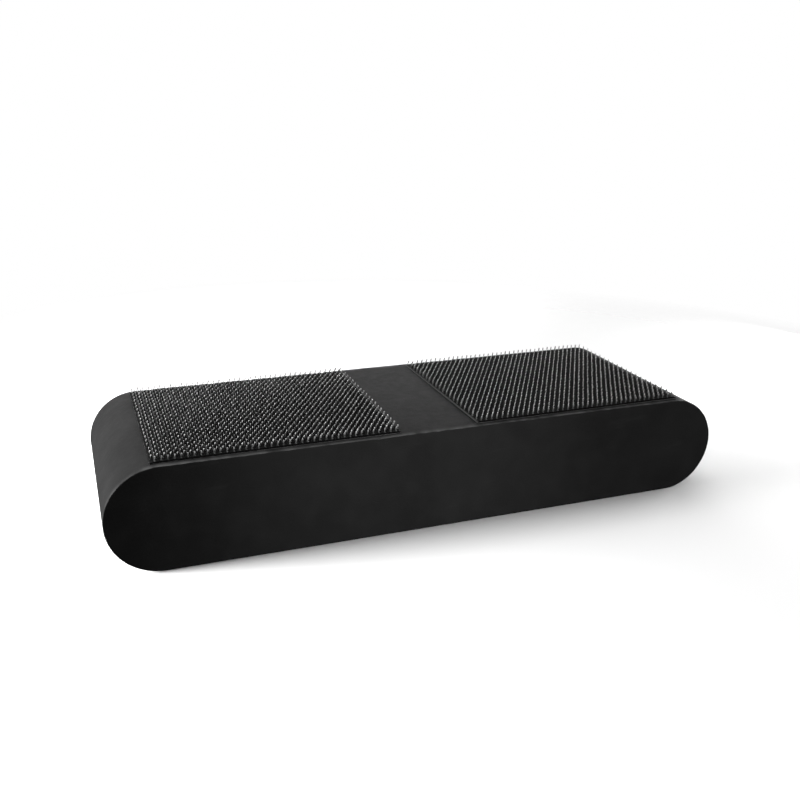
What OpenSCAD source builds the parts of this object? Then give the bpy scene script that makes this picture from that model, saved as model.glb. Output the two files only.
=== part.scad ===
// Foam anchor block with two pads of coarse hook tape on its upper face.
// The block lies along X with its hooks up. The origin is the centre of the underside, and +Z is up.

/* [Block] */
// Length over the two rounded ends
block_length = 305; // [280:1:400]
// Depth from the front face to the back face
block_depth = 102; // [98:1:150]
// Height of the foam, which is also the diameter of the rounded ends
block_height = 49; // [30:0.5:60]

/* [Hook tape] */
// Length of each pad, along the block
pad_length = 112; // [80:0.5:114]
// Depth of each pad, from front to back
pad_depth = 95; // [60:0.5:96]
// Bare foam between the two pads
pad_gap = 38.5; // [20:0.5:50]
// Thickness of the adhesive film under the tape
film_thickness = 0.2; // [0.1:0.05:0.5]
// Thickness of the tape's woven base
tape_thickness = 0.6; // [0.4:0.1:1.2]
// Height of the hooks above the woven base
hook_height = 2.4; // [1.5:0.1:4]
// Distance between two rows of hooks
row_pitch = 2.27; // [1.8:0.01:3.2]
// Room that one row of hooks takes from front to back
row_thickness = 0.9; // [0.5:0.1:1.2]

/* [Printed mark] */
// Length of the capsule outline on the underside
mark_length = 150; // [100:1:180]
// Width of the capsule outline
mark_width = 34; // [28:1:50]
// Width of the printed line
mark_line = 4; // [2:0.5:5]
// Length of each of the two bars inside the outline
bar_length = 42; // [20:1:42]
// Depth of the ink, which lies flush in the foam
ink_depth = 0.2; // [0.1:0.05:0.4]

/* [Hidden] */

LEFT = -1;
RIGHT = 1;

// Facets on the rounded ends
round_fn = 180;
// How far a cutting solid runs past what it cuts
clear = 1;

end_radius = block_height / 2;
// Length of the flat faces between the rounded ends
flat_length = block_length - block_height;
// Distance from the middle of the block to the middle of a pad
pad_offset = (pad_gap + pad_length) / 2;

// Heights of the layers' upper faces over the foam
tape_floor = film_thickness;
hook_floor = tape_floor + tape_thickness;
hook_top = hook_floor + hook_height;

// Rows of hooks: as many as fit, centred on the pad
row_count = floor((pad_depth - row_thickness) / row_pitch) + 1;
first_row = -(row_count - 1) * row_pitch / 2;

// Centres of the bars, a third of the way along the inside of the capsule
bar_offset = bar_length / 2 + 10;

foam_color = [0.07, 0.07, 0.072];
film_color = [0.55, 0.55, 0.5];
tape_color = [0.05, 0.05, 0.052];
hook_color = [0.16, 0.16, 0.165];
ink_color = [0.9, 0.9, 0.9];

// A capsule outline, which is a rectangle with a full round at each end
module capsule(length, width) {
    square([length - width, width], center = true);
    for (side = [LEFT, RIGHT])
        translate([side * (length - width) / 2, 0])
            circle(d = width, $fn = round_fn);
}

// The block's own profile, grown outwards, and extruded from front to back
module block_solid(grow, depth) {
    translate([0, depth / 2, end_radius])
        rotate([90, 0, 0])
            linear_extrude(depth)
                capsule(block_length + 2 * grow, block_height + 2 * grow);
}

// A layer that follows the block's surface between two heights over it
module layer(low, high) {
    difference() {
        block_solid(high, block_depth);
        block_solid(low, block_depth + 2 * clear);
    }
}

// A tall box over one pad, from which a layer takes its outline
module pad_column(side, depth) {
    translate([side * pad_offset - pad_length / 2, -depth / 2, end_radius])
        cube([pad_length, depth, block_height]);
}

// The part of a layer that lies on one pad
module pad_layer(side, low, high) {
    intersection() {
        layer(low, high);
        pad_column(side, pad_depth);
    }
}

// One bar for every row of hooks, as tall as the hooks and as thick as their heads
module pad_rows(side) {
    intersection() {
        layer(hook_floor, hook_top);
        for (row = [0 : row_count - 1])
            translate([0, first_row + row * row_pitch, 0])
                pad_column(side, row_thickness);
    }
}

// The mark on the underside, as a flat solid of the ink's depth
module mark_solid() {
    linear_extrude(ink_depth)
        difference() {
            capsule(mark_length, mark_width);
            capsule(mark_length - 2 * mark_line, mark_width - 2 * mark_line);
        }
    for (side = [LEFT, RIGHT])
        translate([side * bar_offset, 0, 0])
            linear_extrude(ink_depth)
                capsule(bar_length, mark_line);
}

module foam_block() {
    color(foam_color)
        difference() {
            block_solid(0, block_depth);
            mark_solid();
        }
}

module adhesive_film(side) {
    color(film_color) pad_layer(side, 0, tape_floor);
}

module tape_base(side) {
    color(tape_color) pad_layer(side, tape_floor, hook_floor);
}

module hook_rows(side) {
    color(hook_color) pad_rows(side);
}

module printed_mark() {
    color(ink_color) mark_solid();
}

foam_block();
adhesive_film(LEFT);  // adhesive_film_left
adhesive_film(RIGHT);  // adhesive_film_right
tape_base(LEFT);  // tape_base_left
tape_base(RIGHT);  // tape_base_right
hook_rows(LEFT);  // hook_rows_left
hook_rows(RIGHT);  // hook_rows_right
printed_mark();
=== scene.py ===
"""Foam anchor block with two pads of hook tape: its looks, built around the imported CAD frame.

The block rests on its plain face with the hooks up. Every size is in metres and comes from the frame's
boxes or from a named value below. The CAD nodes of the film and the ink stay and get a better material.
The foam, the tape's woven base and the rows of hooks are replaced by detailed pieces of the same size.
"""

import math
import random

import bpy
import numpy as np
from mathutils import Matrix, Vector, noise


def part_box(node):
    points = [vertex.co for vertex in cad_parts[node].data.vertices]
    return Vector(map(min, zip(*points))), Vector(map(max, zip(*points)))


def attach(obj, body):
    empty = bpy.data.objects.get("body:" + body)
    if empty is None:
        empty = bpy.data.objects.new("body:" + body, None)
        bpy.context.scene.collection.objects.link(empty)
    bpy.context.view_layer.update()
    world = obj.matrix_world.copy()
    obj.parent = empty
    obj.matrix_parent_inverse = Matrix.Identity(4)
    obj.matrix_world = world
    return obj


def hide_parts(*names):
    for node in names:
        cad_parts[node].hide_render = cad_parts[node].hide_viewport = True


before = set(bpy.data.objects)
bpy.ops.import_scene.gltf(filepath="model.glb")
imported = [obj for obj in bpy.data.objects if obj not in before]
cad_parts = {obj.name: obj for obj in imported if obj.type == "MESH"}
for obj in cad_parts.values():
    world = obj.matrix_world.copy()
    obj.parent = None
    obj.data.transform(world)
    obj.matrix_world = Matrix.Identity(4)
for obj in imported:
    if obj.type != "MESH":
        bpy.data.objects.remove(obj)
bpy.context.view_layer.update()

MM = 0.001
BODY = "root"
PADS = ("left", "right")


# ---------------------------------------------------------------- camera

CAMERA_PLACE = Vector((-0.1564, -0.4082, 0.2025))
CAMERA_AIM = Vector((-0.0002, 0.0052, 0.045))
CAMERA_ROLL = math.radians(0.79)
CAMERA_LENS = 40.8
CAMERA_SENSOR = 36.0
CAMERA_CLIP = (0.01, 50)


def add_camera():
    """The photograph's view: from the front left, looking about 20 degrees down."""
    data = bpy.data.cameras.new("camera")
    data.lens = CAMERA_LENS
    data.sensor_width = CAMERA_SENSOR
    data.clip_start, data.clip_end = CAMERA_CLIP
    camera = bpy.data.objects.new("camera", data)
    look = (CAMERA_AIM - CAMERA_PLACE).to_track_quat("-Z", "Y")
    turn = look.to_matrix().to_4x4() @ Matrix.Rotation(CAMERA_ROLL, 4, "Z")
    camera.matrix_world = Matrix.Translation(CAMERA_PLACE) @ turn
    bpy.context.scene.collection.objects.link(camera)
    bpy.context.scene.camera = camera


add_camera()


# ---------------------------------------------------------------- sizes from the frame

foam_low, foam_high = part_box("foam_block")
HEIGHT = foam_high.z - foam_low.z
MID_HEIGHT = (foam_low.z + foam_high.z) / 2
HALF_DEPTH = (foam_high.y - foam_low.y) / 2
END_RADIUS = HEIGHT / 2
# How far from the middle, along the block, its flat part ends and a round end starts
END_CENTRE = foam_high.x - END_RADIUS


def surface_drop(x):
    """How far the block's upper face lies under its flat part, at this place along its length."""
    past = max(abs(x) - END_CENTRE, 0)
    return END_RADIUS - math.sqrt(END_RADIUS**2 - past**2)


# ---------------------------------------------------------------- node materials

class Nodes:
    """A short way to write the node tree of a material or of the world."""

    def __init__(self, owner):
        owner.use_nodes = True
        self.owner = owner
        self.tree = owner.node_tree
        self.coordinates = self.add("ShaderNodeTexCoord").outputs
        self.place = self.coordinates["Object"]

    def add(self, kind, **settings):
        node = self.tree.nodes.new(kind)
        for key, value in settings.items():
            setattr(node, key, value)
        return node

    def join(self, source, target):
        self.tree.links.new(source, target)

    def fill(self, socket, value):
        """Links a socket's output to this input, or sets its value."""
        if isinstance(value, bpy.types.NodeSocket):
            self.join(value, socket)
        else:
            socket.default_value = value

    def stretched(self, scale):
        """The object's own coordinates, scaled along each axis."""
        mapping = self.add("ShaderNodeMapping")
        self.join(self.place, mapping.inputs["Vector"])
        mapping.inputs["Scale"].default_value = scale
        return mapping.outputs["Vector"]

    def noise(self, scale, detail=3, roughness=0.55, at=None):
        node = self.add("ShaderNodeTexNoise")
        self.join(at or self.place, node.inputs["Vector"])
        node.inputs["Scale"].default_value = scale
        node.inputs["Detail"].default_value = detail
        node.inputs["Roughness"].default_value = roughness
        return node.outputs["Fac"]

    def cells(self, scale):
        node = self.add("ShaderNodeTexVoronoi")
        self.join(self.place, node.inputs["Vector"])
        node.inputs["Scale"].default_value = scale
        return node.outputs["Distance"]

    def bands(self, scale, direction, distortion):
        """Soft parallel bands across one axis."""
        node = self.add("ShaderNodeTexWave", wave_type="BANDS", bands_direction=direction)
        self.join(self.place, node.inputs["Vector"])
        node.inputs["Scale"].default_value = scale
        node.inputs["Distortion"].default_value = distortion
        return node.outputs["Fac"]

    def attribute(self, name):
        return self.add("ShaderNodeAttribute", attribute_name=name).outputs["Fac"]

    def remap(self, value, low, high, to_low=0.0, to_high=1.0, **settings):
        """The value moved from the range low to high into the range to_low to to_high."""
        node = self.add("ShaderNodeMapRange", **settings)
        self.join(value, node.inputs["Value"])
        node.inputs["From Min"].default_value = low
        node.inputs["From Max"].default_value = high
        self.fill(node.inputs["To Min"], to_low)
        self.fill(node.inputs["To Max"], to_high)
        return node.outputs["Result"]

    def product(self, first, second):
        node = self.add("ShaderNodeMath", operation="MULTIPLY")
        self.join(first, node.inputs[0])
        self.join(second, node.inputs[1])
        return node.outputs[0]

    def mix(self, amount, first, second):
        """One colour to another as amount goes from 0 to 1."""
        node = self.add("ShaderNodeMix", data_type="RGBA")
        self.fill(node.inputs["Factor"], amount)
        self.fill(node.inputs["A"], first)
        self.fill(node.inputs["B"], second)
        return node.outputs["Result"]

    def bump(self, height, depth, under=None):
        """A normal from a height texture this many metres deep, on top of the normal under it."""
        node = self.add("ShaderNodeBump")
        self.join(height, node.inputs["Height"])
        node.inputs["Distance"].default_value = depth
        if under:
            self.join(under, node.inputs["Normal"])
        return node.outputs["Normal"]

    def surface(self, **inputs):
        """Fills the shader's inputs, with _ for each space in a name, and returns the material."""
        shader = self.tree.nodes["Principled BSDF"]
        for key, value in inputs.items():
            self.fill(shader.inputs[key.replace("_", " ")], value)
        return self.owner


def material_nodes(name):
    return Nodes(bpy.data.materials.new(name))


def grey(level):
    return (level, level, level, 1.0)


def foam_material():
    """Closed-cell foam: very fine cells, soft clouds of tone, faint scuffs, and a painted pale highlight
    along the edges.
    """
    n = material_nodes("foam")
    mottle = n.noise(24)
    cloud = n.noise(75)
    scuff = n.noise(60, detail=2, at=n.stretched((0.6, 2.0, 3.0)))
    speck = n.cells(1500)
    shade = n.mix(n.remap(mottle, 0.35, 0.68), grey(0.0058), grey(0.0084))
    shade = n.mix(n.remap(cloud, 0.45, 0.75, 0, 0.45), shade, grey(0.012))
    shade = n.mix(n.remap(scuff, 0.66, 0.8, 0, 0.4), shade, grey(0.015))
    shade = n.mix(n.remap(speck, 0.0, 0.35, 0.3, 0), shade, grey(0.004))
    # Painted highlight: a pale strip along the long edges, where they would catch light
    shade = n.mix(n.attribute("wear_and_painted_light"), shade, grey(0.06))
    roughness = n.remap(n.noise(300, detail=2), 0.3, 0.7, 0.62, 0.7)
    normal = n.bump(speck, 0.00004)
    normal = n.bump(n.noise(2600, detail=2), 0.00002, under=normal)
    return n.surface(Base_Color=shade, Roughness=roughness, Normal=normal, Specular_IOR_Level=0.04)


def hook_material():
    """Smooth nylon monofilament, nearly black, painted pale grey where light would fall: painted highlights
    on the crowns, painted light on the stems.
    """
    n = material_nodes("hooks")
    own_black = n.mix(n.noise(900, detail=2), grey(0.001), grey(0.003))
    painted_highlight = n.mix(n.noise(1400, detail=2), grey(0.42), grey(0.60))
    # Painted light: the pale grey stands in for highlights on the crowns and light on the stems; the
    # near-black is the nylon's own colour
    shade = n.mix(n.attribute("wear_and_painted_light"), own_black, painted_highlight)
    roughness = n.remap(n.noise(1800, detail=2), 0.3, 0.7, 0.3, 0.42)
    normal = n.bump(n.noise(3500, detail=1), 0.00002)
    return n.surface(Base_Color=shade, Roughness=roughness, Normal=normal, Specular_IOR_Level=0.15)


def tape_material():
    """Black woven ground of the hook tape, a little paler where it is worn."""
    n = material_nodes("tape_base")
    warp = n.bands(260, "X", distortion=0.3)
    weft = n.bands(220, "Y", distortion=0.3)
    weave = n.product(warp, weft)
    shade = n.mix(weave, grey(0.0006), grey(0.002))
    shade = n.mix(n.remap(n.noise(120), 0.4, 0.7, 0, 0.3), shade, grey(0.002))
    shade = n.mix(n.attribute("wear_and_painted_light"), shade, grey(0.02))
    normal = n.bump(weave, 0.00015)
    normal = n.bump(n.noise(2500, detail=2), 0.00004, under=normal)
    roughness = n.remap(weave, 0, 1, 0.95, 0.8)
    return n.surface(Base_Color=shade, Roughness=roughness, Normal=normal, Specular_IOR_Level=0.05)


def film_material():
    """Adhesive film, whose edge shows as a thin dark line under the tape."""
    n = material_nodes("adhesive")
    shade = n.mix(n.noise(700), grey(0.006), grey(0.014))
    normal = n.bump(n.noise(1500, detail=2), 0.00003)
    roughness = n.remap(n.noise(400), 0.3, 0.7, 0.3, 0.5)
    return n.surface(Base_Color=shade, Roughness=roughness, Normal=normal)


def ink_material():
    """White screen print: chalky, with pinholes where the foam's cells show through."""
    n = material_nodes("ink")
    pinholes = n.remap(n.noise(900, detail=4, roughness=0.7), 0.62, 0.7)
    shade = n.mix(n.noise(60, detail=2), grey(0.72), grey(0.84))
    shade = n.mix(pinholes, shade, grey(0.05))
    normal = n.bump(n.cells(1500), 0.00005)
    roughness = n.remap(n.noise(200), 0.3, 0.7, 0.5, 0.7)
    return n.surface(Base_Color=shade, Roughness=roughness, Normal=normal)


# ---------------------------------------------------------------- mesh helpers

def add_mesh(name, points, faces, material, wear_and_painted_light, replaced):
    """A smooth-shaded piece from points and faces, with a value at every point for wear and for painted
    light.
    """
    mesh = bpy.data.meshes.new(name)
    mesh.from_pydata([tuple(p) for p in points], [], faces)
    mesh.polygons.foreach_set("use_smooth", [True] * len(mesh.polygons))
    values = mesh.attributes.new("wear_and_painted_light", "FLOAT", "POINT").data
    values.foreach_set("value", np.asarray(wear_and_painted_light, np.float32))
    mesh.materials.append(material)
    mesh.validate()
    mesh.update()
    piece = bpy.data.objects.new(name, mesh)
    bpy.context.scene.collection.objects.link(piece)
    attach(piece, BODY)
    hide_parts(replaced)
    return piece


def tube_faces(rings, sides):
    """Quads between rings of points. Ring r's points are r * sides to (r + 1) * sides - 1."""
    faces = []
    for r in range(rings - 1):
        near, far = r * sides, (r + 1) * sides
        for s in range(sides):
            t = (s + 1) % sides
            faces.append((near + s, near + t, far + t, far + s))
    return faces


def flipped(faces):
    return [tuple(reversed(face)) for face in faces]


def shifted(faces, first):
    """The same faces on points whose numbers start at first."""
    return [tuple(point + first for point in face) for face in faces]


# ---------------------------------------------------------------- foam block

FLAT_STEP = 1.5 * MM
ARC_STEPS = 20
CAP_ROWS = 16
EDGE_ROUND = 0.3 * MM
EDGE_STEPS = 3
# Two rings on each long face, this far inside its outline, keep its shading flat up to the rounded edge
FACE_RINGS = (2.0 * MM, 0.8 * MM)
# The wall is the surface round the block between its long faces. It has rings this far from each of its
# rounded edges, and then one at about every WALL_STEP.
WALL_RINGS = (0, 0.5 * MM, 1.1 * MM, 2.0 * MM, 3.4 * MM)
WALL_STEP = 3 * MM

# The edges have long waves and short ripples, which stay this near to them. A salt sets their noise apart.
EDGE_REACH = 2.5 * MM
WAVE_SCALE, WAVE_SALT = 55, 3.1
WAVE_DEPTH = 0.10 * MM
RIPPLE_SCALE, RIPPLE_SALT = 260, 7.7
RIPPLE_DEPTH = 0.05 * MM
# A slow swell is all over the wall and the long faces. Points this near to a long face move with it.
SWELL_SCALE = 24
WALL_SWELL = 0.04 * MM
FACE_SWELL = 0.06 * MM
FACE_REACH = 1.2 * MM

NICKS = 46
NICK_SEED = 41
# Two nicks in three are on the front edge
NICK_SIDES = (-1, -1, 1)
NICK_SIZES = (0.6 * MM, 1.5 * MM)
NICK_DEPTHS = (0.1 * MM, 0.3 * MM)
# A nick's dent is cut off at this many times its size
NICK_REACH = 3

# How far from its edges the wall gets a painted pale highlight, where the edges would catch light
HIGHLIGHT_STRIP = 3.4 * MM
# How far past the flat part of the block the painted highlight has faded, and the least share of it that
# stays
HIGHLIGHT_END = 12 * MM
LEAST_HIGHLIGHT = 0.25
# Typical painted highlight at an edge, and how much the ripple changes it
HIGHLIGHT_MEAN, HIGHLIGHT_SPREAD = 0.55, 0.9


def foam_columns():
    """Places along the block, and half its height there, dense enough for its round ends."""
    angles = [math.pi / 2 * k / ARC_STEPS for k in range(ARC_STEPS)]
    left = [(-END_CENTRE - END_RADIUS * math.cos(a), END_RADIUS * math.sin(a)) for a in angles]
    steps = round(2 * END_CENTRE / FLAT_STEP)
    flat = [(-END_CENTRE + 2 * END_CENTRE * k / steps, END_RADIUS) for k in range(steps + 1)]
    right = [(-x, half) for x, half in reversed(left)]
    return left + flat + right


def foam_outline(columns):
    """The side profile as a closed loop of (x, z above the middle), along the top and back underneath."""
    under = [(x, -half) for x, half in reversed(columns[1:-1])]
    return columns + under


def outward(x, z):
    """The side profile's outward direction at a point, as (x, z)."""
    past = math.copysign(max(abs(x) - END_CENTRE, 0), x)
    return Vector((past, z)).normalized()


def wall_distance(x, z):
    """Depth of a point under the block's side profile."""
    past = max(abs(x) - END_CENTRE, 0)
    return END_RADIUS - math.hypot(past, z)


def wall_depths(flat):
    """Places of the wall's rings from front to back, where its flat part reaches this far each way."""
    near = [flat - inset for inset in WALL_RINGS]
    inner = near[-1]
    steps = round(2 * inner / WALL_STEP)
    middle = [-inner + 2 * inner * k / steps for k in range(1, steps)]
    return [-y for y in near] + middle + list(reversed(near))


def foam_rings():
    """Each ring of the foam from front to back: its place, and how far it lies inside the outline."""
    flat = HALF_DEPTH - EDGE_ROUND
    edge = [(-HALF_DEPTH, inset) for inset in FACE_RINGS]
    for k in range(EDGE_STEPS):
        a = math.pi / 2 * k / EDGE_STEPS
        edge.append((-flat - EDGE_ROUND * math.cos(a), EDGE_ROUND * (1 - math.sin(a))))
    wall = [(y, 0.0) for y in wall_depths(flat)]
    return edge + wall + [(-y, inset) for y, inset in reversed(edge)]


def foam_block():
    """The foam as one closed skin, with rounded edges and a grid of quads on each long face."""
    columns = foam_columns()
    outline = foam_outline(columns)
    rings = foam_rings()
    points = []
    for y, inset in rings:
        for x, z in outline:
            normal = outward(x, z)
            points.append(Vector((x - normal.x * inset, y, z - normal.y * inset)))
    count = len(outline)
    faces = tube_faces(len(rings), count)
    faces += cap_faces(points, columns, count, 0)
    faces += flipped(cap_faces(points, columns, count, (len(rings) - 1) * count))
    wear_and_painted_light = roughen_foam(points)
    points = [p + Vector((0, 0, MID_HEIGHT)) for p in points]
    piece = add_mesh("foam", points, faces, foam_material(), wear_and_painted_light, "foam_block")
    return piece


def cap_faces(points, columns, count, start):
    """Fills one long face with columns of faces, and adds the points that they need inside it."""
    last = len(columns) - 1
    grid = [[start]]
    for c in range(1, last):
        upper, lower = start + c, start + count - c
        column = [upper]
        for r in range(1, CAP_ROWS):
            points.append(points[upper].lerp(points[lower], r / CAP_ROWS))
            column.append(len(points) - 1)
        grid.append(column + [lower])
    grid.append([start + last])
    faces = []
    for a, b in zip(grid, grid[1:]):
        for r in range(CAP_ROWS):
            if len(a) == 1:
                faces.append((a[0], b[r + 1], b[r]))
            elif len(b) == 1:
                faces.append((a[r], a[r + 1], b[0]))
            else:
                faces.append((a[r], a[r + 1], b[r + 1], b[r]))
    return faces


def foam_nicks():
    """Small dents along the two upper long edges: centre, size and depth of each."""
    draw = random.Random(NICK_SEED)
    nicks = []
    for _ in range(NICKS):
        along = draw.uniform(-END_CENTRE, END_CENTRE)
        centre = Vector((along, draw.choice(NICK_SIDES) * HALF_DEPTH, END_RADIUS))
        nicks.append((centre, draw.uniform(*NICK_SIZES), draw.uniform(*NICK_DEPTHS)))
    return nicks


def edge_noise(p, side, scale, salt):
    """Noise that runs along the side profile, and differs between the two long sides."""
    return noise.noise(Vector((p.x * scale, side * salt, p.z * scale)))


def nick_depth(p, nicks):
    """How deep the nicks are at this point."""
    deep = 0.0
    for centre, size, depth in nicks:
        reach = NICK_REACH * size
        if abs(p.x - centre.x) < reach and (p - centre).length < reach:
            deep += depth * math.exp(-((p - centre).length / size) ** 2)
    return deep


def roughen_foam(points):
    """Moves the foam's points a little, as a cut block is never true, and returns each point's painted edge
    highlight.
    """
    nicks = foam_nicks()
    wear_and_painted_light = []
    for i, p in enumerate(points):
        side = 1 if p.y > 0 else -1
        from_face = HALF_DEPTH - abs(p.y)
        from_wall = wall_distance(p.x, p.z)
        edge = max(0.0, 1 - math.hypot(from_face, from_wall) / EDGE_REACH)
        wave = edge_noise(p, side, WAVE_SCALE, WAVE_SALT)
        ripple = edge_noise(p, side, RIPPLE_SCALE, RIPPLE_SALT)
        swell = noise.noise(p * SWELL_SCALE)
        nick = nick_depth(p, nicks)
        inward = edge * (WAVE_DEPTH * wave + RIPPLE_DEPTH * ripple) + nick
        if from_wall < EDGE_ROUND:
            inward += WALL_SWELL * swell
        # The lower half never bulges, so that the block lies flat
        if p.z < 0:
            inward = max(inward, 0.0)
        # A long face mostly swells inward, so that the block keeps to its box
        sunk = nick + FACE_SWELL * (swell + 0.5) if from_face < FACE_REACH else 0.0
        normal = outward(p.x, p.z)
        points[i] = Vector((p.x - normal.x * inward, p.y - side * sunk, p.z - normal.y * inward))
        # The pale strip along the long edges is a painted highlight; it fades past the flat part of the
        # block
        round_end = max(0, abs(p.x) - END_CENTRE) / HIGHLIGHT_END
        painted_highlight = max(LEAST_HIGHLIGHT, 1 - round_end) * max(0.0, 1 - from_face / HIGHLIGHT_STRIP)
        on_wall = from_wall < EDGE_ROUND / 2
        wear_and_painted_light.append(on_wall * painted_highlight * max(0.0, min(1.0, HIGHLIGHT_MEAN + HIGHLIGHT_SPREAD * ripple)))
    return wear_and_painted_light


# ---------------------------------------------------------------- tape base

TAPE_STEP = 0.7 * MM
WEAVE_HEIGHT = 0.05 * MM
# How uneven the tape's edges are, the scale of that, and how far they are pressed down
RIM_WOBBLE = 0.1 * MM
RIM_SCALE = 300
RIM_DROP = 0.12 * MM
RIM_SALT = {"left": 5.3, "right": 9.1}


def tape_base(side, material):
    """The tape's woven ground: a thin plate with a bumpy face, worn along its edge beside the gap."""
    node = "tape_base_" + side
    low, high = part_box(node)
    # The box's underside lies where the tape has bent down furthest, at the pad's outer end
    base = low.z + surface_drop(max(abs(low.x), abs(high.x)))
    nx = round((high.x - low.x) / TAPE_STEP)
    ny = round((high.y - low.y) / TAPE_STEP)
    beside_gap = nx if side == "left" else 0
    points, wear_and_painted_light, index = [], [], {}
    for layer in (0, 1):
        for i in range(nx + 1):
            for j in range(ny + 1):
                at_end, at_side = i in (0, nx), j in (0, ny)
                on_rim = at_end or at_side
                # The lower layer has only the rim's points
                if layer == 0 and not on_rim:
                    continue
                x = low.x + (high.x - low.x) * i / nx
                y = low.y + (high.y - low.y) * j / ny
                shift = RIM_WOBBLE * noise.noise(Vector((x * RIM_SCALE, y * RIM_SCALE, RIM_SALT[side])))
                x += shift * at_end
                y += shift * at_side
                upper = high.z - WEAVE_HEIGHT * ((i + j) % 2 == 0) - RIM_DROP * on_rim
                index[layer, i, j] = len(points)
                points.append((x, y, (upper if layer else base) - surface_drop(x)))
                wear_and_painted_light.append(1.0 if i == beside_gap else 0.0)
    faces = []
    for i in range(nx):
        for j in range(ny):
            corners = ((i, j), (i + 1, j), (i + 1, j + 1), (i, j + 1))
            faces.append(tuple(index[(1, *corner)] for corner in corners))
    rim = [(i, 0) for i in range(nx)] + [(nx, j) for j in range(ny)]
    rim += [(i, ny) for i in range(nx, 0, -1)] + [(0, j) for j in range(ny, 0, -1)]
    for here, there in zip(rim, rim[1:] + rim[:1]):
        ends = ((0, *here), (0, *there), (1, *there), (1, *here))
        faces.append(tuple(index[end] for end in ends))
    faces.append(tuple(index[(0, *place)] for place in reversed(rim)))
    return add_mesh("tape_ground_" + side, points, faces, material, wear_and_painted_light, node)


# ---------------------------------------------------------------- hooks

# The CAD's bars of hooks: how thick one is, and how far it is from one to the next
CAD_ROW_THICKNESS = 0.9 * MM
CAD_ROW_PITCH = 2.27 * MM
# Distance between the hooks of a row, and the room that a full row leaves at its two ends together
HOOK_PITCH = 2.76 * MM
ROW_END_ROOM = 1.2 * MM

# A hook goes up, bends over and comes down again. HOOK_BEND is the radius of its bend.
HOOK_SIDES = 6
HOOK_BEND = 0.18 * MM
STEM_RADIUS = 0.16 * MM
CROWN_RADIUS = 0.165 * MM
TIP_RADIUS = 0.13 * MM
CROWN_ANGLES = (36, 72, 108, 144)
# How deep its foot is sunk in the tape, and how far the foot and the stem's top stand outside the bend
HOOK_SUNK = 0.15 * MM
FOOT_OUT = 0.03 * MM
STEM_TOP_OUT = 0.01 * MM
# How high its tip ends, as a share of the hook's height, and how far that is inside the bend
TIP_SHARE = 0.42
TIP_IN = 0.02 * MM
# The same for the cut leg under the tip, whose foot stands outside the bend
STUB_SHARE = 0.24
STUB_OUT = 0.04 * MM

# How far hooks lean to the right and back, in degrees, and how much every hook differs from the rest
HOOK_LEAN = 7
HOOK_LEAN_BACK = 2
LEAN_SPREAD = 1.5
HEADING_SPREAD = 6
PLACE_SPREAD = 0.05 * MM
HOOK_SIZES = (0.9, 1.06)
HOOK_TONES = (0.7, 1.0)
HOOK_SEED = {"left": 7, "right": 8}
# For even and odd rows: the way that the hooks bend over, how much painted light their stems get, and how
# strong the painted highlight on their crowns is
ROW_HEADING = (75, 200)
ROW_STEM_PAINTED_LIGHT = (0.16, 0.0)
ROW_CROWN_HIGHLIGHT = (0.5, 1.0)
# The same for the hooks that stand at the front, at the back and beside the gap
RIM_HEADING = -25
RIM_STEM_PAINTED_LIGHT = 0.24
RIM_CROWN_HIGHLIGHT = 0.45
# The share of a stem's painted light that is left at its root, which is painted darker as shade, and the
# shares of the height between which the stem's painted light goes over to the crown's painted highlight. The
# stem's top is at the first of the two.
ROOT_TONE = 0.4
CROWN_FROM, CROWN_TO = 0.82, 0.92


def hook_path(height):
    """The centre line of one hook, in its own plane: (along the bend, up, radius) at every ring."""
    straight = height - HOOK_BEND - CROWN_RADIUS
    path = [
        (-HOOK_BEND - FOOT_OUT, -HOOK_SUNK, STEM_RADIUS),
        (-HOOK_BEND - STEM_TOP_OUT, height * CROWN_FROM, CROWN_RADIUS),
        (-HOOK_BEND, straight, CROWN_RADIUS),
    ]
    for degrees in CROWN_ANGLES:
        a = math.radians(degrees)
        path.append((-HOOK_BEND * math.cos(a), straight + HOOK_BEND * math.sin(a), CROWN_RADIUS))
    path.append((HOOK_BEND - TIP_IN, height * TIP_SHARE, TIP_RADIUS))
    return path


def stub_path(height):
    """The centre line of the cut leg that is left standing under the hook's tip."""
    return [
        (HOOK_BEND + STUB_OUT, -HOOK_SUNK, STEM_RADIUS),
        (HOOK_BEND, height * STUB_SHARE, CROWN_RADIUS),
    ]


def strand(path):
    """Rings of points round a centre line."""
    rings = []
    for k, (out, up, radius) in enumerate(path):
        before, after = path[max(k - 1, 0)], path[min(k + 1, len(path) - 1)]
        along = Vector((after[0] - before[0], 0, after[1] - before[1])).normalized()
        across = Vector((0, 1, 0))
        third = along.cross(across)
        for s in range(HOOK_SIDES):
            a = 2 * math.pi * s / HOOK_SIDES
            rings.append(Vector((out, 0, up)) + (across * math.cos(a) + third * math.sin(a)) * radius)
    return rings


def strand_faces(rings):
    """The closed tube over a strand's rings."""
    faces = tube_faces(rings, HOOK_SIDES)
    faces.append(tuple(range(HOOK_SIDES - 1, -1, -1)))
    faces.append(tuple(range((rings - 1) * HOOK_SIDES, rings * HOOK_SIDES)))
    return faces


def hook_template(height):
    """Points and faces of one hook with its cut leg, and each point's share of the height."""
    hook, stub = hook_path(height), stub_path(height)
    points = strand(hook)
    faces = strand_faces(len(hook)) + shifted(strand_faces(len(stub)), len(points))
    points = np.array(points + strand(stub))
    return points, faces, points[:, 2] / height


def hook_rows(low, high):
    """Middle of each CAD row of hooks, from front to back."""
    steps = round((high.y - low.y - CAD_ROW_THICKNESS) / CAD_ROW_PITCH)
    return [low.y + CAD_ROW_THICKNESS / 2 + k * CAD_ROW_PITCH for k in range(steps + 1)]


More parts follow.
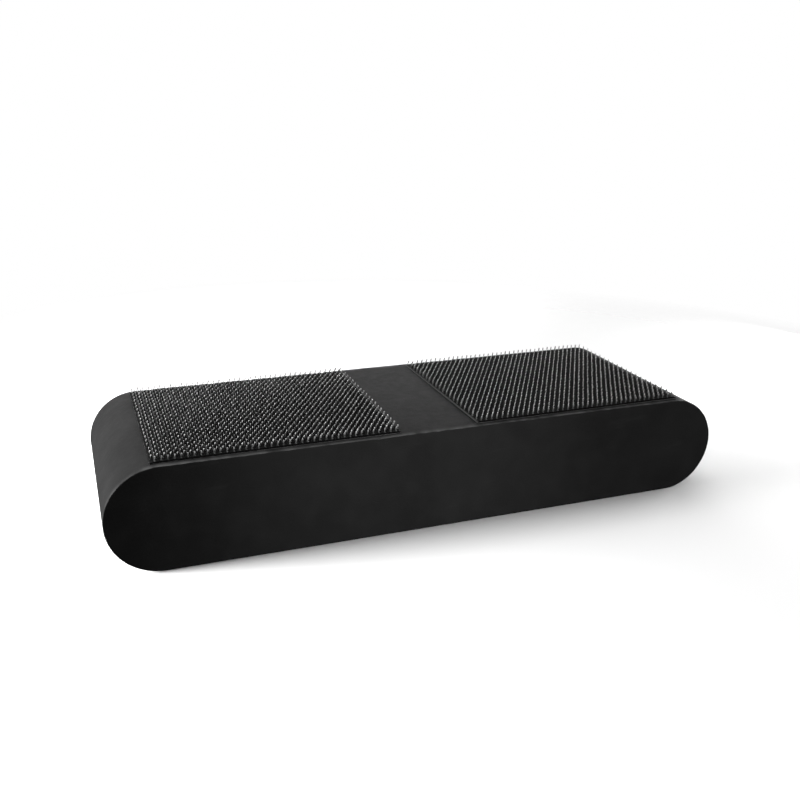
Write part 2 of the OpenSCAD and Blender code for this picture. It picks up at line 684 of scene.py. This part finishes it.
def hook_places(side, low, high):
    """Every hook of a pad: its root, whether its row is odd, and whether it stands at the rim.

    An odd row has one hook more, and lies half a pitch away from its neighbours.
    """
    rows = hook_rows(low, high)
    count = int((high.x - low.x - ROW_END_ROOM) / HOOK_PITCH)
    spare = (high.x - low.x - count * HOOK_PITCH) / 2
    for r, y in enumerate(rows):
        odd = r % 2
        for k in range(count + odd):
            x = low.x + spare + (k + (0 if odd else 0.5)) * HOOK_PITCH
            beside_gap = k == (count + odd - 1 if side == "left" else 0)
            yield x, y, odd, r in (0, len(rows) - 1) or beside_gap


def hook_turn(draw, odd, rim):
    """The matrix that gives one hook its own heading and lean."""
    heading = (RIM_HEADING if rim else ROW_HEADING[odd]) + draw.gauss(0, HEADING_SPREAD)
    lean = draw.gauss(HOOK_LEAN, LEAN_SPREAD)
    back = draw.gauss(HOOK_LEAN_BACK, LEAN_SPREAD)
    turn = Matrix.Rotation(math.radians(lean), 3, "Y")
    turn = turn @ Matrix.Rotation(-math.radians(back), 3, "X")
    return turn @ Matrix.Rotation(math.radians(heading), 3, "Z")


def hook_painted_light(share, odd, rim):
    """The painted light on a hook at each of its points, from the points' shares of its height: painted
    shade at the root, painted light up the stem and a painted highlight on the crown.
    """
    stem_light = RIM_STEM_PAINTED_LIGHT if rim else ROW_STEM_PAINTED_LIGHT[odd]
    crown_highlight = RIM_CROWN_HIGHLIGHT if rim else ROW_CROWN_HIGHLIGHT[odd]
    stem = stem_light * np.clip(ROOT_TONE + share, 0, 1)
    crown = np.clip((share - CROWN_FROM) / (CROWN_TO - CROWN_FROM), 0, 1)
    return stem + (crown_highlight - stem) * crown


def hook_field(side, material):
    """All hooks of one pad, as one mesh."""
    node = "hook_rows_" + side
    low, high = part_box(node)
    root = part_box("tape_base_" + side)[1].z
    template, template_faces, share = hook_template(high.z - root)
    draw = random.Random(HOOK_SEED[side])
    points, faces, wear_and_painted_light = [], [], []
    for x, y, odd, rim in hook_places(side, low, high):
        turn = hook_turn(draw, odd, rim)
        size = draw.uniform(*HOOK_SIZES)
        place = (
            x + draw.gauss(0, PLACE_SPREAD),
            y + draw.gauss(0, PLACE_SPREAD),
            root - surface_drop(x),
        )
        faces += shifted(template_faces, len(points) * len(template))
        points.append((template * size) @ np.array(turn).T + place)
        # Painted light and highlights, a little stronger or weaker on each hook
        wear_and_painted_light.append(hook_painted_light(share, odd, rim) * draw.uniform(*HOOK_TONES))
    points, wear_and_painted_light = np.concatenate(points), np.concatenate(wear_and_painted_light)
    return add_mesh("hooks_" + side, points, faces, material, wear_and_painted_light, node)


# ---------------------------------------------------------------- printed mark

# How close to the foam's underside a point of the ink counts as lying on it
UNDERSIDE_SLACK = 0.01 * MM


def cut_mark_recess(foam):
    """Takes the ink's own shape out of the foam's underside, so that the ink lies flush in it."""
    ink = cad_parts["printed_mark"]
    cutter = ink.copy()
    cutter.data = ink.data.copy()
    # The cutter goes on below the foam, so that the recess is open
    for vertex in cutter.data.vertices:
        if vertex.co.z < foam_low.z + UNDERSIDE_SLACK:
            vertex.co.z = foam_low.z - MM
    bpy.context.scene.collection.objects.link(cutter)
    cut = foam.modifiers.new("mark_recess", "BOOLEAN")
    cut.operation = "DIFFERENCE"
    cut.solver = "EXACT"
    cut.object = cutter
    bpy.context.view_layer.objects.active = foam
    bpy.ops.object.modifier_apply(modifier=cut.name)
    bpy.data.objects.remove(cutter)


# ---------------------------------------------------------------- floor and light

FLOOR_CLEAR = 0.05 * MM
FLOOR_RADIUS = 2.5
FLOOR_RINGS, FLOOR_SIDES = 24, 96
# How far from the middle the floor fades into the backdrop
FADE_FROM, FADE_TO = 0.22, 0.5

# Strength of the surrounding light that comes from the front, from behind the block and from above
WORLD_FRONT = 0.04
WORLD_BACK = 0.10
WORLD_TOP = 0.2
# Where it changes from front to back, and where it changes to the light from above. Both are measured on
# the unit vector of its direction, along Y and along Z.
WORLD_DEPTH_SPAN = (-0.3, 0.9)
WORLD_HEIGHT_SPAN = (0.25, 0.8)

AREA_LIGHTS = {
    # Weak even light from above
    "overhead": {
        "place": (0.0, 0.15, 1.2), "aim": (0.0, 0.0, 0.0), "size": (1.0, 1.0), "watts": 5,
    },
    # Grazing sheen on the top and the tape, strongest at the back edge
    "back_strip": {
        "place": (0.04, 0.165, 0.11), "aim": (0.0, 0.02, 0.04), "size": (0.6, 0.06), "watts": 0.62,
    },
    # The left round end, and the left side of the hooks
    "left": {
        "place": (-0.48, 0.01, 0.14), "aim": (-0.12, 0.0, 0.04), "size": (0.12, 0.24), "watts": 9.5,
    },
    # The front face, most of all its right half
    "front_fill": {
        "place": (0.40, -0.42, 0.06), "aim": (0.05, -0.05, 0.03), "size": (0.2, 0.08), "watts": 2.1,
    },
    # The last two stay below the top's level, so that they light only the right end and the back face
    "right_end": {
        "place": (0.45, 0.08, 0.022), "aim": (0.15, 0.0, 0.022), "size": (0.2, 0.03), "watts": 2.2,
    },
    "back_fill": {
        "place": (0.07, 0.50, 0.022), "aim": (0.0, 0.05, 0.022), "size": (0.32, 0.03), "watts": 4,
    },
}
SPOT_PLACE = (0.10, -0.80, 0.04)
SPOT_AIM = (-0.025, -0.05, 0.03)
SPOT_ANGLE = math.radians(19)
SPOT_RADIUS = 0.05
SPOT_WATTS = 28


def add_floor():
    """A pale round floor that fades into the backdrop's white well away from the block."""
    points = [Vector((0, 0, 0))]
    for r in range(1, FLOOR_RINGS + 1):
        radius = FLOOR_RADIUS * (r / FLOOR_RINGS) ** 2
        for s in range(FLOOR_SIDES):
            a = 2 * math.pi * s / FLOOR_SIDES
            points.append(Vector((math.cos(a), math.sin(a), 0)) * radius)
    faces = [(0, 1 + s, 1 + (s + 1) % FLOOR_SIDES) for s in range(FLOOR_SIDES)]
    faces += flipped(shifted(tube_faces(FLOOR_RINGS, FLOOR_SIDES), 1))
    mesh = bpy.data.meshes.new("floor")
    mesh.from_pydata(points, [], faces)
    floor = bpy.data.objects.new("floor", mesh)
    floor.location.z = foam_low.z - FLOOR_CLEAR
    floor.visible_diffuse = False
    floor.visible_glossy = False
    bpy.context.scene.collection.objects.link(floor)
    n = material_nodes("floor")
    distance = n.add("ShaderNodeVectorMath", operation="LENGTH")
    n.join(n.place, distance.inputs[0])
    alpha = n.remap(distance.outputs["Value"], FADE_FROM, FADE_TO, 1, 0)
    shade = n.mix(n.noise(6), grey(0.78), grey(0.80))
    material = n.surface(Base_Color=shade, Roughness=0.9, Alpha=alpha, Specular_IOR_Level=0.1)
    mesh.materials.append(material)


def add_world():
    """A white backdrop for the camera, which gives far less light: most from above, least from the front."""
    world = bpy.data.worlds.new("studio")
    bpy.context.scene.world = world
    n = Nodes(world)
    parts = n.add("ShaderNodeSeparateXYZ")
    n.join(n.coordinates["Generated"], parts.inputs[0])
    smooth = {"interpolation_type": "SMOOTHSTEP"}
    level = n.remap(parts.outputs["Y"], *WORLD_DEPTH_SPAN, WORLD_FRONT, WORLD_BACK, **smooth)
    strength = n.remap(parts.outputs["Z"], *WORLD_HEIGHT_SPAN, level, WORLD_TOP, **smooth)
    light = n.tree.nodes["Background"]
    light.inputs["Color"].default_value = grey(1)
    n.join(strength, light.inputs["Strength"])
    shown = n.add("ShaderNodeBackground")
    shown.inputs["Color"].default_value = grey(1)
    choose = n.add("ShaderNodeMixShader")
    n.join(n.add("ShaderNodeLightPath").outputs["Is Camera Ray"], choose.inputs["Fac"])
    n.join(light.outputs[0], choose.inputs[1])
    n.join(shown.outputs[0], choose.inputs[2])
    n.join(choose.outputs[0], n.tree.nodes["World Output"].inputs["Surface"])


def hang_light(data, place, aim):
    """Puts a light at a place, aims it at another, and hides the lamp itself from the camera."""
    light = bpy.data.objects.new(data.name, data)
    light.location = place
    light.rotation_mode = "QUATERNION"
    light.rotation_quaternion = (Vector(aim) - Vector(place)).to_track_quat("-Z", "Y")
    light.visible_camera = False
    bpy.context.scene.collection.objects.link(light)


def add_area_light(name, place, aim, size, watts):
    data = bpy.data.lights.new(name, "AREA")
    data.shape = "RECTANGLE"
    data.size, data.size_y = size
    data.energy = watts
    hang_light(data, place, aim)


def add_spot():
    """A soft-edged pool of light on the middle of the front face."""
    data = bpy.data.lights.new("front_spot", "SPOT")
    data.spot_size = SPOT_ANGLE
    data.spot_blend = 1.0
    data.shadow_soft_size = SPOT_RADIUS
    data.energy = SPOT_WATTS
    hang_light(data, SPOT_PLACE, SPOT_AIM)


def add_lights():
    add_world()
    for name, settings in AREA_LIGHTS.items():
        add_area_light(name, **settings)
    add_spot()
    scene = bpy.context.scene
    scene.view_settings.view_transform = "Standard"
    scene.view_settings.look = "None"


# ---------------------------------------------------------------- assembly

foam = foam_block()
cut_mark_recess(foam)
tape = tape_material()
hooks = hook_material()
film = film_material()
for side in PADS:
    tape_base(side, tape)
    hook_field(side, hooks)
    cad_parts["adhesive_film_" + side].data.materials[0] = film
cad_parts["printed_mark"].data.materials[0] = ink_material()
add_floor()
add_lights()
